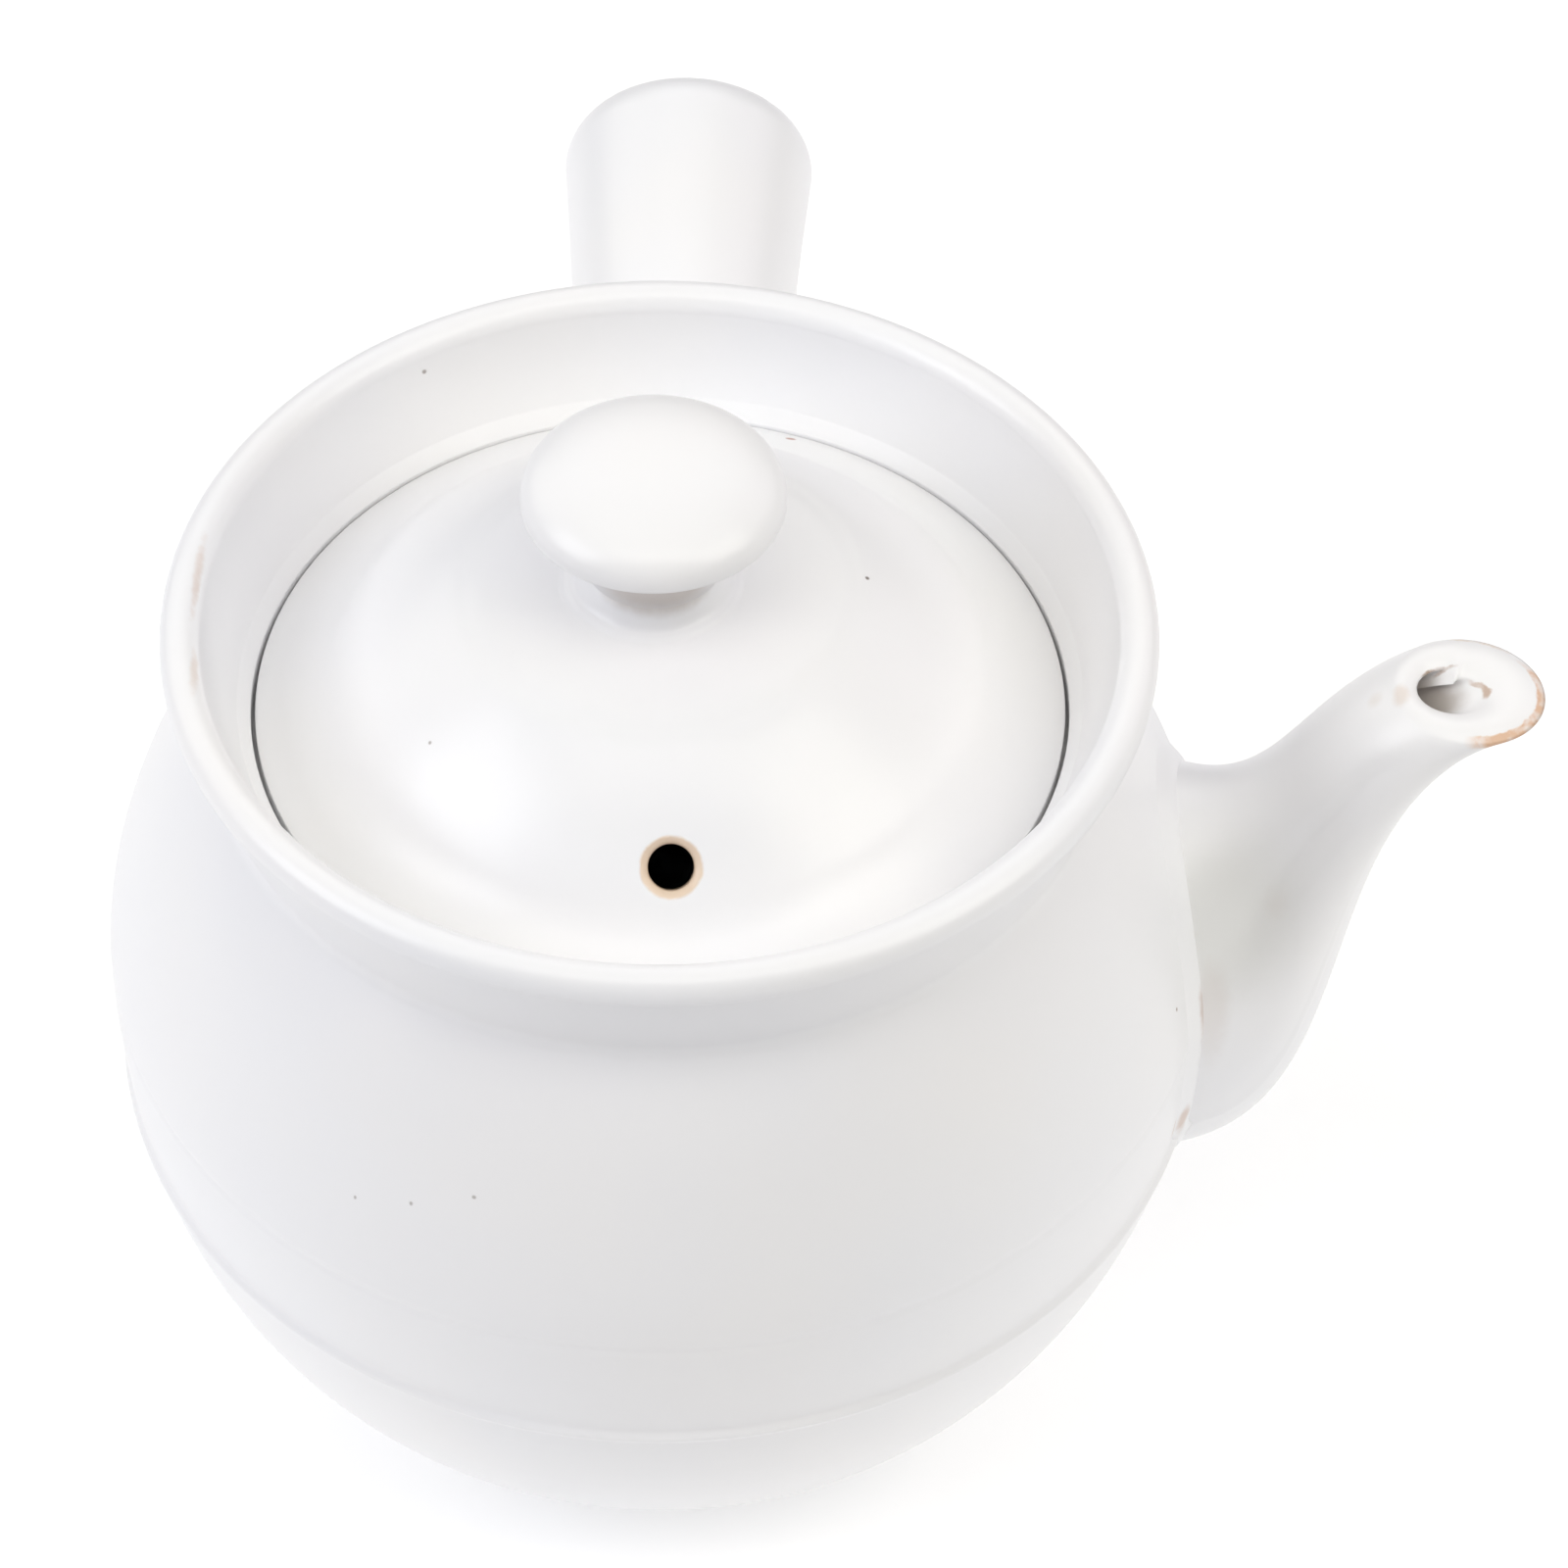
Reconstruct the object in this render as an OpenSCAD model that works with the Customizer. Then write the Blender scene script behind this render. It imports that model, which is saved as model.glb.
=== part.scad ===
// Chinese herbal medicine pot: a thrown stoneware pot for boiling decoctions, with a
// lift-off lid, a pouring spout and a hollow side handle a quarter turn round from it.
// The origin is the centre of the foot, on the table. Z is up, X runs out along the
// spout and Y out along the handle. All sizes are millimetres.

/* [Pot body] */
// Radius of the belly at its widest
belly_r = 87.6; // [84:0.2:92]
// Height of the belly's widest circle above the table
belly_z = 85; // [82:0.5:88]
// Depth of the lower bowl's curve, which the flat foot cuts short
bowl_depth = 96; // [92:0.5:102]
// Fullness of the lower bowl, where 2 is an ellipse
bowl_power = 2.3; // [2:0.05:2.6]
// Height of the shoulder's curve, which the neck cuts short
shoulder_rise = 91; // [86:0.5:98]
// Fullness of the shoulder, where 2 is an ellipse
shoulder_power = 1.65; // [1.5:0.05:1.9]
// Thickness of the thrown wall
wall_t = 5; // [4:0.25:6]
// Height of the inside floor above the table
floor_z = 7; // [6:0.5:9]
// Height of the turned line round the lower bowl
ridge_z = 63; // [50:1:75]
// How far the bowl stands proud below the turned line
ridge_step = 0.4; // [0.2:0.1:0.8]
// Width of the flat foot ring that the pot stands on
foot_ring_w = 7; // [4:0.5:10]
// Depth of the hollow inside the foot ring
foot_hollow = 2; // [1:0.25:3]

/* [Rim and lid seat] */
// Height where the shoulder meets the collar
neck_z = 132; // [130:0.5:134]
// Radius of the hollow round between the shoulder and the collar
neck_hollow_r = 6; // [3:0.5:8]
// Height of the top of the rim
rim_z = 154; // [151:0.5:158]
// Radius of the circle along the middle of the rolled rim
rim_r = 72.3; // [71:0.1:75]
// Radius of the rolled rim's own round
rim_bead_r = 3; // [2.5:0.1:3.5]
// How far the collar under the rim lies inside the rim's outer edge
collar_inset = 1.7; // [1:0.1:2.5]
// Height of the seat that the lid rests on
seat_z = 130; // [128:0.5:131]
// Width of the seat under the lid
seat_w = 6; // [4:0.25:8]
// Height of the small step above the seat
step_h = 6.5; // [5:0.25:8]
// Width of the small step above the seat
step_w = 0.9; // [0.5:0.1:1.5]

/* [Lid] */
// Radius of the lid's edge
lid_r = 62; // [60:0.2:63]
// Gap between the lid's edge and the wall round it
lid_gap = 1.6; // [1:0.1:2.5]
// Height of the lid's edge band
lid_edge_h = 4; // [3:0.25:5]
// Width of the shallow border outside the dome
lid_border_w = 10; // [7:0.5:12]
// Rise of the border from the edge to the foot of the dome
lid_border_rise = 5.2; // [4:0.2:6]
// Radius of the sphere that the dome follows
dome_r = 65; // [63:0.5:70]
// Thickness of the lid
lid_t = 5; // [4:0.25:6]
// Radius of the turned line round the crown, where the dome flattens
crown_r = 29.5; // [24:0.5:34]
// Rise of the crown inside the turned line
crown_rise = 2; // [1.5:0.1:3]
// Diameter of the steam hole
steam_hole_d = 7.2; // [5:0.2:9]
// Distance of the steam hole from the lid's axis
steam_hole_r = 46; // [40:0.5:47]
// Direction of the steam hole, turned from the spout's direction
steam_hole_turn = -86; // [-180:1:180]

/* [Knob] */
// Radius of the knob
knob_r = 19.8; // [17:0.2:23]
// Radius of the knob's neck
knob_neck_r = 8.6; // [7:0.2:10]
// Height of the knob above the lid
knob_h = 24; // [21:0.5:28]
// Thickness of the knob's edge
knob_edge_t = 2.6; // [2:0.2:4]
// Height on the neck where it turns out under the cap
knob_neck_h = 8.4; // [7:0.2:10]
// Radius of the hollow round where the neck turns out under the cap
knob_hollow_r = 7; // [4:0.5:7]
// Rise of the knob's rounded top above its edge
knob_crown = 6; // [4:0.25:8]
// Flatness of the knob's top, where 2 is an ellipse
knob_power = 2.5; // [2:0.1:3]
// Width of the luted fillet round the knob's neck
knob_seam_w = 4.5; // [3:0.25:6]

/* [Spout] */
// Height of the middle of the spout's base on the belly
spout_base_z = 78; // [76:0.5:82]
// Height of the spout's base
spout_base_h = 75; // [68:1:78]
// Width of the spout's base
spout_base_w = 50; // [44:1:56]
// Distance of the middle of the lip from the pot's axis
spout_reach = 122.8; // [118:0.2:128]
// Height of the middle of the lip
spout_lip_z = 140; // [136:0.5:144]
// Length of the lip, from the pot's side to the outer side
spout_lip_l = 24; // [20:0.5:28]
// Width of the lip
spout_lip_w = 22.5; // [20:0.5:26]
// Tilt of the lip, outer side down
spout_lip_tilt = 2; // [0:1:20]
// Thickness of the spout's wall
spout_t = 4.5; // [3.5:0.25:5]
// Thickness of the lip on its outer side
lip_outer_t = 7.6; // [5:0.2:8.5]
// Thickness of the lip on its other sides
lip_inner_t = 4.4; // [3.5:0.2:6]
// Rise of the lip's rounded crest
lip_crest = 1.2; // [0.5:0.1:2]
// Diameter of one strainer hole
strainer_hole_d = 5.5; // [4:0.25:6.5]
// Distance between neighbouring strainer holes
strainer_pitch = 10; // [9:0.25:11]

/* [Handle] */
// Height where the handle's axis meets the belly
handle_z = 100; // [92:1:104]
// Rise of the handle
handle_rise = 12; // [6:1:18]
// Length of the handle along its axis
handle_l = 72; // [60:1:84]
// Radius of the handle beside the pot
handle_root_r = 17.8; // [16:0.2:20]
// Radius of the handle near its end
handle_end_r = 21.8; // [19:0.2:23]
// Radius of the round at the handle's end
handle_round = 5.5; // [4:0.25:6]
// Radius of the handle's bore
handle_bore_r = 12.5; // [10:0.25:13]

/* [Luting seams] */
// Thickness of the film of slip that holds two fired pieces together
slip_t = 0.1; // [0.1:0.05:0.3]
// Width of the fillet of slip on the pot's wall
seam_w = 3; // [2:0.25:4]
// Height of the fillet of slip up the spout or handle
seam_h = 2.5; // [2:0.1:2.8]

/* [Hidden] */
$fn = 96;
white_glaze = "#f3f1ee";
shaded_glaze = "#e9e4dc";
round_steps = 6;
curve_steps = 18;
spout_steps = 14;
handle_steps = 10;
ring_points = 44;
cut_margin_l = 1;

throat_t = 4;
gallery_slope_h = 9;
edge_r = 1;
rim_start_turn = -50;
rim_sweep = 240;
seam_bulk = 0.35;
knob_seam_bulk = 0.2;
spout_narrowing = 1.7;
lip_blend = 4;
handle_flare = 1.6;
bore_edge_r = 1.5;

// How far each line of the spout's side view is pulled at the belly and at the lip
under_pull_l = 40;
under_pull_h = 4;
under_lip_pull_l = 39;
under_lip_pull_h = 15;
over_pull_l = 16;
over_pull_h = 3;
over_lip_pull_l = 14;
over_lip_pull_h = 10;

gallery_r = lid_r + lid_gap;
throat_r = lid_r - seat_w;
lid_edge_z = seat_z + lid_edge_h;
dome_foot_r = lid_r - lid_border_w;
dome_foot_z = lid_edge_z + lid_border_rise;
dome_z = dome_foot_z - sqrt(pow(dome_r, 2) - pow(dome_foot_r, 2));
crown_z = dome_z + sqrt(pow(dome_r, 2) - pow(crown_r, 2)) + crown_rise;
ceiling_z = crown_z - crown_rise - lid_t;

// ---- Outlines ----

// Radius of a superellipse quarter at a fraction of its height
function swell(part, power) = pow(1 - pow(part, power), 1 / power);

// Radius of the body's outside, or of its inside for a depth under the skin
function body_r(z, under = 0) =
    z < belly_z
    ? (belly_r - under) * swell((belly_z - z) / (bowl_depth - under), bowl_power)
    : (belly_r - under) * swell((z - belly_z) / (shoulder_rise - under), shoulder_power);

// Radius of the outside, with the turned line's step below it
function skin_r(z) = body_r(z) + (z < ridge_z ? ridge_step : 0);

function unit(v) = v / norm(v);

// Points of a round at the corner here, between its neighbours
function round_at(before, here, after, r) =
    let (to_before = unit(before - here),
         to_after = unit(after - here),
         half = acos(to_before * to_after) / 2,
         centre = here + unit(to_before + to_after) * r / sin(half),
         first = here + to_before * r / tan(half) - centre,
         last = here + to_after * r / tan(half) - centre,
         start = atan2(first.y, first.x),
         turn = atan2(cross(first, last), first * last))
    [for (i = [0 : round_steps])
        centre + r * [cos(start + turn * i / round_steps), sin(start + turn * i / round_steps)]];

function flat(corner) = [corner.x, corner.y];

// Outline through corners [x, y, round radius], where a plain point has no third value
function rounded(corners) =
    let (n = len(corners))
    [for (i = [0 : n - 1])
        let (here = corners[i])
        each (len(here) == 2
            ? [here]
            : round_at(flat(corners[(i + n - 1) % n]), flat(here), flat(corners[(i + 1) % n]), here.z))];

// ---- Lofts ----

// Closed solid through rings of points, the last ring joined to the first
module looped_loft(rings) {
    count = len(rings);
    size = len(rings[0]);
    polyhedron(
        points = [for (ring = rings) each ring],
        faces = [for (i = [0 : count - 1]) for (j = [0 : size - 1])
            let (here = i * size,
                 next = (i + 1) % count * size,
                 beside = (j + 1) % size)
            each [[here + j, next + j, next + beside], [here + j, next + beside, here + beside]]]);
}

function bezier(p, s) =
    pow(1 - s, 3) * p[0] + 3 * pow(1 - s, 2) * s * p[1] + 3 * (1 - s) * s * s * p[2] + pow(s, 3) * p[3];

function turn_of(j) = 360 * j / ring_points;

// Radius that a luted piece is cut to: a film of slip off the skin, clear of the turned line
function luted_r(z) = body_r(z) + slip_t + (z < ridge_z + seam_w ? ridge_step : 0);

// Ring on the body's outside, an oval seen from the +X side: half width, half height
function ring_on_body(half_w, half_h, z) =
    [for (j = [0 : ring_points - 1])
        let (across = half_w * cos(turn_of(j)),
             up = z + half_h * sin(turn_of(j)))
        [sqrt(pow(luted_r(up), 2) - pow(across, 2)), across, up]];

// Flat oval ring that spans two points of the XZ plane
function ring_between(low, high, half_w) =
    [for (j = [0 : ring_points - 1])
        let (middle = (low + high) / 2 + (high - low) / 2 * sin(turn_of(j)))
        [middle.x, half_w * cos(turn_of(j)), middle.y]];

// Ring eased from the one on the body towards its own plane, at a share s of the way out
function eased_ring(on_body, flat_root, ring, s) =
    ring + (on_body - flat_root) * pow(1 - s, 3);

// Fillet round a joint, an oval seen from the +X side, that climbs the skin from low to high
module seam_fillet(half_w, half_h, z, low, high) {
    joint = ring_on_body(half_w + slip_t, half_h + slip_t, z);
    on_body = ring_on_body(half_w + seam_w, half_h + seam_w, z);
    risen = [for (j = [0 : ring_points - 1]) joint[j] + unit(high[j] - low[j]) * seam_h];
    hollow = seam_bulk * joint + (1 - seam_bulk) * (on_body + risen) / 2;
    looped_loft([joint, on_body, hollow, risen]);
}

// ---- Spout ----

lip_middle = [spout_reach, spout_lip_z];
lip_along = [cos(spout_lip_tilt), -sin(spout_lip_tilt)];
lip_up = [sin(spout_lip_tilt), cos(spout_lip_tilt)];
spout_low_z = spout_base_z - spout_base_h / 2;
spout_high_z = spout_base_z + spout_base_h / 2;
under_start = [skin_r(spout_low_z), spout_low_z];
over_start = [skin_r(spout_high_z), spout_high_z];
under_end = lip_middle + lip_along * spout_lip_l / 2;
over_end = lip_middle - lip_along * spout_lip_l / 2;
under_line = [under_start, under_start + [under_pull_l, under_pull_h],
              under_end - [under_lip_pull_l, under_lip_pull_h], under_end];
over_line = [over_start, over_start + [over_pull_l, -over_pull_h],
             over_end - [over_lip_pull_l, over_lip_pull_h], over_end];

function spout_half_w(s) =
    spout_lip_w / 2 + (spout_base_w - spout_lip_w) / 2 * pow(1 - s, spout_narrowing);

// Spout ring a share s of the way out, drawn in by the wall on each side
function spout_ring(s, under_t = 0, over_t = 0, side_t = 0) =
    let (low = bezier(under_line, s),
         high = bezier(over_line, s),
         inward = unit(high - low))
    ring_between(low + inward * under_t, high - inward * over_t, spout_half_w(s) - side_t);

function outer_ring(s) =
    eased_ring(ring_on_body(spout_base_w / 2, spout_base_h / 2, spout_base_z),
               spout_ring(0), spout_ring(s), s);

// The wall thickens towards the lip
function wall_at(s, at_lip) = spout_t + (at_lip - spout_t) * pow(s, lip_blend);

function inner_ring(s) =
    eased_ring(ring_on_body(spout_base_w / 2 - spout_t, spout_base_h / 2 - spout_t, spout_base_z),
               spout_ring(0, spout_t, spout_t, spout_t),
               spout_ring(s, wall_at(s, lip_outer_t), wall_at(s, lip_inner_t),
                          wall_at(s, (lip_outer_t + lip_inner_t) / 2)), s);

// Ring on the lip's crest, a share of the way from its outer to its inner edge
function crest_ring(share) =
    let (lift = lip_crest * sin(180 * share))
    [for (j = [0 : ring_points - 1])
        (1 - share) * outer_ring(1)[j] + share * inner_ring(1)[j] + lift * [lip_up.x, 0, lip_up.y]];

// ---- Handle ----

handle_dir = [cos(handle_rise), sin(handle_rise)];
handle_up = [-sin(handle_rise), cos(handle_rise)];
handle_start = [skin_r(handle_z), handle_z];
handle_straight = handle_l - handle_round;

// Radius of the handle at a distance along its axis
function handle_r(along) =
    along < handle_straight
    ? handle_root_r + (handle_end_r - handle_root_r) * pow(along / handle_straight, handle_flare)
    : handle_end_r - handle_round + sqrt(pow(handle_round, 2) - pow(along - handle_straight, 2));

// Ring of a given radius, square to the handle's axis
function square_ring(along, r) =
    let (middle = handle_start + handle_dir * along)
    ring_between(middle - handle_up * r, middle + handle_up * r, r);

// Ring of a given radius, eased onto the body over the handle's length
function handle_ring(along, r, root_r) =
    eased_ring(ring_on_body(root_r, root_r / handle_dir.x, handle_z),
               square_ring(0, root_r), square_ring(along, r), min(1, along / handle_straight));

handle_outer = [
    for (i = [0 : handle_steps]) let (along = handle_straight * i / handle_steps)
        handle_ring(along, handle_r(along), handle_root_r),
    for (i = [1 : round_steps]) let (along = handle_straight + handle_round * sin(90 * i / round_steps))
        handle_ring(along, handle_r(along), handle_root_r)];
handle_inner = [
    handle_ring(handle_l, handle_bore_r + bore_edge_r, handle_bore_r),
    handle_ring(handle_l - bore_edge_r, handle_bore_r, handle_bore_r),
    for (i = [handle_steps : -1 : 0])
        handle_ring((handle_l - 2 * bore_edge_r) * i / handle_steps, handle_bore_r, handle_bore_r)];

// ---- Pot ----

// Thrown shell: foot, bowl, turned line, shoulder, collar, rolled rim, lid seat and inside
module pot_body() {
    neck_r = body_r(neck_z);
    rim_mid_z = rim_z - rim_bead_r;
    collar_r = rim_r + rim_bead_r - collar_inset;
    under_seat_z = seat_z - throat_t - gallery_slope_h;
    foot_r = skin_r(0);
    strainer_rows = [-2 : 2];
    color(white_glaze)
    difference() {
        rotate_extrude()
        polygon(rounded([
            [0, foot_hollow],
            [foot_r - foot_ring_w, foot_hollow, edge_r],
            [foot_r - foot_ring_w + foot_hollow, 0],
            [foot_r - edge_r, 0],
            for (i = [0 : curve_steps]) let (z = edge_r + (ridge_z - edge_r) * i / curve_steps)
                [body_r(z) + ridge_step, z],
            [body_r(ridge_z + ridge_step), ridge_z + ridge_step],
            for (i = [1 : curve_steps]) let (z = ridge_z + (neck_z - ridge_z) * i / (curve_steps + 1))
                [body_r(z), z],
            [neck_r, neck_z, neck_hollow_r],
            [collar_r, rim_mid_z - rim_bead_r],
            for (i = [0 : 2 * round_steps]) let (turn = rim_start_turn + rim_sweep * i / (2 * round_steps))
                [rim_r + rim_bead_r * cos(turn), rim_mid_z + rim_bead_r * sin(turn)],
            [gallery_r + step_w, seat_z + step_h, edge_r],
            [gallery_r, seat_z + step_h - step_w],
            [gallery_r, seat_z],
            [throat_r, seat_z, edge_r],
            [throat_r, seat_z - throat_t, edge_r],
            for (i = [0 : curve_steps])
                let (z = under_seat_z + (floor_z - under_seat_z) * sin(90 * i / curve_steps))
                [body_r(z, wall_t), z],
            [0, floor_z]]));
        for (row = strainer_rows)
            for (place = [0 : 1 + abs(row) % 2])
                translate([0, (place - (1 + abs(row) % 2) / 2) * strainer_pitch,
                           spout_base_z + row * strainer_pitch * sin(60)])
                rotate([0, 90, 0])
                cylinder(d = strainer_hole_d, h = belly_r + cut_margin_l);
    }
}

// Hollow spout, luted to the belly over the strainer holes
module spout() {
    color(white_glaze)
    looped_loft([
        for (i = [0 : spout_steps]) outer_ring(i / spout_steps),
        for (i = [1 : round_steps - 1]) crest_ring(i / round_steps),
        for (i = [spout_steps : -1 : 0]) inner_ring(i / spout_steps)]);
}

// Fillet of slip that lutes the spout to the belly
module spout_seam() {
    color(shaded_glaze)
    seam_fillet(spout_base_w / 2, spout_base_h / 2, spout_base_z, outer_ring(0), outer_ring(1 / spout_steps));
}

// Hollow handle, open at its end and closed by the belly's wall at its root
module side_handle() {
    color(white_glaze)
    rotate([0, 0, 90])
    looped_loft([each handle_outer, each handle_inner]);
}

// Fillet of slip that lutes the handle to the belly
module handle_seam() {
    color(shaded_glaze)
    rotate([0, 0, 90])
    seam_fillet(handle_root_r, handle_root_r / handle_dir.x, handle_z, handle_outer[0], handle_outer[1]);
}

// ---- Lid ----

// Domed lid with its edge band, border, turned line, flat crown and slanting steam hole
module lid() {
    hole_tilt = asin(steam_hole_r / dome_r);
    inner_r = dome_r - lid_t;
    top_turn = acos((ceiling_z - dome_z) / inner_r);
    foot_turn = acos((seat_z - dome_z) / inner_r);
    dome_steps = 12;
    color(white_glaze)
    difference() {
        rotate_extrude()
        polygon(rounded([
            [0, crown_z],
            [knob_neck_r + knob_seam_w, crown_z],
            for (i = [0 : dome_steps])
                let (turn = asin(crown_r / dome_r)
                            + (asin(dome_foot_r / dome_r) - asin(crown_r / dome_r)) * i / dome_steps)
                [dome_r * sin(turn), dome_z + dome_r * cos(turn)],
            [lid_r, lid_edge_z, edge_r],
            [lid_r, seat_z, edge_r],
            for (i = [0 : dome_steps]) let (turn = foot_turn + (top_turn - foot_turn) * i / dome_steps)
                [inner_r * sin(turn), dome_z + inner_r * cos(turn)],
            [0, ceiling_z]]));
        translate([0, 0, dome_z])
        rotate([0, hole_tilt, steam_hole_turn])
        translate([0, 0, inner_r - lid_t])
        cylinder(d = steam_hole_d, h = 2 * lid_t + cut_margin_l);
    }
}

// Solid mushroom knob, flat underneath where it is luted to the lid's crown
module lid_knob() {
    edge_z = knob_h - knob_crown;
    color(white_glaze)
    translate([0, 0, crown_z])
    rotate_extrude()
    polygon(rounded([
        [0, 0],
        [knob_neck_r, 0],
        [knob_neck_r, knob_neck_h, knob_hollow_r],
        [knob_r, edge_z - knob_edge_t, edge_r],
        for (i = [0 : curve_steps]) let (turn = 90 * i / curve_steps)
            [knob_r * pow(cos(turn), 2 / knob_power), edge_z + knob_crown * pow(sin(turn), 2 / knob_power)]]));
}

// Fillet of slip that lutes the knob's neck to the crown
module knob_seam() {
    inner_r = knob_neck_r + slip_t;
    hollow_w = knob_seam_w * knob_seam_bulk;
    color(shaded_glaze)
    translate([0, 0, crown_z])
    rotate_extrude()
    polygon(rounded([
        [inner_r, 0],
        [inner_r + knob_seam_w, 0],
        [inner_r + hollow_w, hollow_w, knob_seam_w / 2],
        [inner_r, knob_seam_w]]));
}

pot_body();
spout();
spout_seam();
side_handle();
handle_seam();
lid();
lid_knob();
knob_seam();
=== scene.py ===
import math

import bpy
from mathutils import Matrix, Quaternion, Vector


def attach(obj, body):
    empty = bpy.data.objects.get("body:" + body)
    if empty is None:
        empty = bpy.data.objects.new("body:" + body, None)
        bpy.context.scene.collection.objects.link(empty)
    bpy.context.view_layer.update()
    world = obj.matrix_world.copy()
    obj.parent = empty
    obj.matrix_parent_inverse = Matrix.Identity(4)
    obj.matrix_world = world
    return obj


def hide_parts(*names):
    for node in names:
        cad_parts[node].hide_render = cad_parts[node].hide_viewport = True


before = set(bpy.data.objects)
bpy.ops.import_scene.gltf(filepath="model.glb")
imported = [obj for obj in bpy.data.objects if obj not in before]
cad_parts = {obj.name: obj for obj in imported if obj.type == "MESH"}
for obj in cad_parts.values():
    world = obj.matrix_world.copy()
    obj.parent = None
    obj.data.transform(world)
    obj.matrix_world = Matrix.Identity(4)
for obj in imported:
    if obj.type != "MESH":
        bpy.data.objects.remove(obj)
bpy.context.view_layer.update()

# ---- The thrown pot ----
# Buff stoneware thrown on a wheel: a foot ring, a round bowl with a turned line low down,
# a shoulder drawn in to a neck, a flared collar with a rolled rim, and a seat for the lid
# inside it. A group of holes is pierced through the wall where the spout covers it.

MM = 0.001

belly_r = 87.6
belly_z = 85.0
bowl_depth = 96.0
bowl_power = 2.3
shoulder_rise = 91.0
shoulder_power = 1.65
wall_t = 5.0
floor_z = 7.0
ridge_z = 63.0
ridge_step = 0.5
ridge_bead = 0.55
ridge_blend = 0.3
groove_z = 84.7
groove_depth = 0.25
turned_line_w = 0.9
foot_ring_w = 7.0
foot_hollow = 2.0
foot_bevel_w = 1.0
foot_bevel_h = 0.8
neck_z = 132.0
neck_hollow_r = 3.5
rim_z = 154.0
rim_r = 72.3
rim_bead_r = 3.0
rim_roll = (-42, 190)
collar_inset = 1.7
collar_round = 0.6
seat_z = 130.0
seat_w = 6.0
step_h = 7.0
step_w = 2.0
step_fall = 2.4
edge_round = 0.8
fine_round = 0.5
throat_t = 4.0
throat_round = 1.2
gallery_slope_h = 9.0
lid_r = 62.0
lid_gap = 0.6
strainer_hole_d = 5.5
strainer_pitch = 10.0
hole_sides = 32
spout_base_z = 78.0


def swell(part, power):
    """Radius of a superellipse quarter at a fraction of its height."""
    return (1 - part ** power) ** (1 / power)


def body_r(z, under=0.0):
    """Radius of the pot at a height, on its skin or a depth under it."""
    if z < belly_z:
        return (belly_r - under) * swell((belly_z - z) / (bowl_depth - under), bowl_power)
    return (belly_r - under) * swell((z - belly_z) / (shoulder_rise - under), shoulder_power)


def skin_r(z):
    """Radius of the outside.

    The bowl stands proud below its turned line, under a fine bead, and a finer groove runs above.
    """
    step = ridge_step / (1 + math.exp((z - ridge_z) / ridge_blend))
    bead = ridge_bead * math.exp(-((z - ridge_z + turned_line_w) / turned_line_w) ** 2)
    groove = groove_depth * math.exp(-((z - groove_z) / turned_line_w) ** 2)
    return body_r(z) + step + bead - groove


def spread(low, high, count):
    """Evenly spaced values from low to high, both ends included."""
    return [low + (high - low) * i / count for i in range(count + 1)]


def rounded(corners, steps=8):
    """Outline through corners (x, y, round radius), where a plain (x, y) stays sharp."""
    outline = []
    for i, corner in enumerate(corners):
        here = Vector(corner[:2])
        if len(corner) == 2:
            outline.append(here)
            continue
        to_before = (Vector(corners[i - 1][:2]) - here).normalized()
        to_after = (Vector(corners[(i + 1) % len(corners)][:2]) - here).normalized()
        half = to_before.angle(to_after) / 2
        centre = here + (to_before + to_after).normalized() * corner[2] / math.sin(half)
        first = here + to_before * corner[2] / math.tan(half) - centre
        last = here + to_after * corner[2] / math.tan(half) - centre
        start = math.atan2(first.y, first.x)
        turn = math.atan2(first.x * last.y - first.y * last.x, first.dot(last))
        for share in spread(0, 1, steps):
            angle = start + turn * share
            outline.append(centre + corner[2] * Vector((math.cos(angle), math.sin(angle))))
    return outline


def piece_from(name, points, faces):
    """A smooth-shaded piece whose points are given in millimetres."""
    mesh = bpy.data.meshes.new(name)
    mesh.from_pydata([Vector(p) * MM for p in points], [], faces)
    mesh.shade_smooth()
    piece = bpy.data.objects.new(name, mesh)
    bpy.context.collection.objects.link(piece)
    return piece


def looped(rings):
    """Points and faces of a closed skin through rings, the last joined to the first."""
    size = len(rings[0])
    points = [p for ring in rings for p in ring]
    faces = []
    for i in range(len(rings)):
        here = i * size
        after = (i + 1) % len(rings) * size
        for j in range(size):
            beside = (j + 1) % size
            faces.append((here + j, here + beside, after + beside, after + j))
    return points, faces


def turned(name, outline, sides=240):
    """A piece turned round the Z axis from a closed outline (radius, height)."""
    points = []
    columns = []
    for r, z in outline:
        if r < 1e-6:
            columns.append([len(points)] * sides)
            points.append((0, 0, z))
            continue
        columns.append(list(range(len(points), len(points) + sides)))
        points += [(r * math.cos(math.tau * j / sides), r * math.sin(math.tau * j / sides), z)
                   for j in range(sides)]
    faces = []
    for low, high in zip(columns, columns[1:] + columns[:1]):
        for j in range(sides):
            k = (j + 1) % sides
            corners = dict.fromkeys((low[j], low[k], high[k], high[j]))
            if len(corners) > 2:
                faces.append(tuple(corners))
    return piece_from(name, points, faces)


def cut(piece, cutter):
    """Cut one solid out of another for good, and drop the cutter."""
    boolean = piece.modifiers.new("cut", "BOOLEAN")
    boolean.operation = "DIFFERENCE"
    boolean.solver = "EXACT"
    boolean.object = cutter
    bpy.context.view_layer.update()
    evaluated = piece.evaluated_get(bpy.context.evaluated_depsgraph_get())
    result = bpy.data.meshes.new_from_object(evaluated)
    piece.modifiers.clear()
    piece.data = result
    piece.data.shade_smooth()
    bpy.data.objects.remove(cutter)


gallery_r = lid_r + lid_gap
throat_r = lid_r - seat_w
rim_mid_z = rim_z - rim_bead_r
collar_r = rim_r + rim_bead_r - collar_inset
under_seat_z = seat_z - throat_t - gallery_slope_h
foot_r = skin_r(0)

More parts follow.
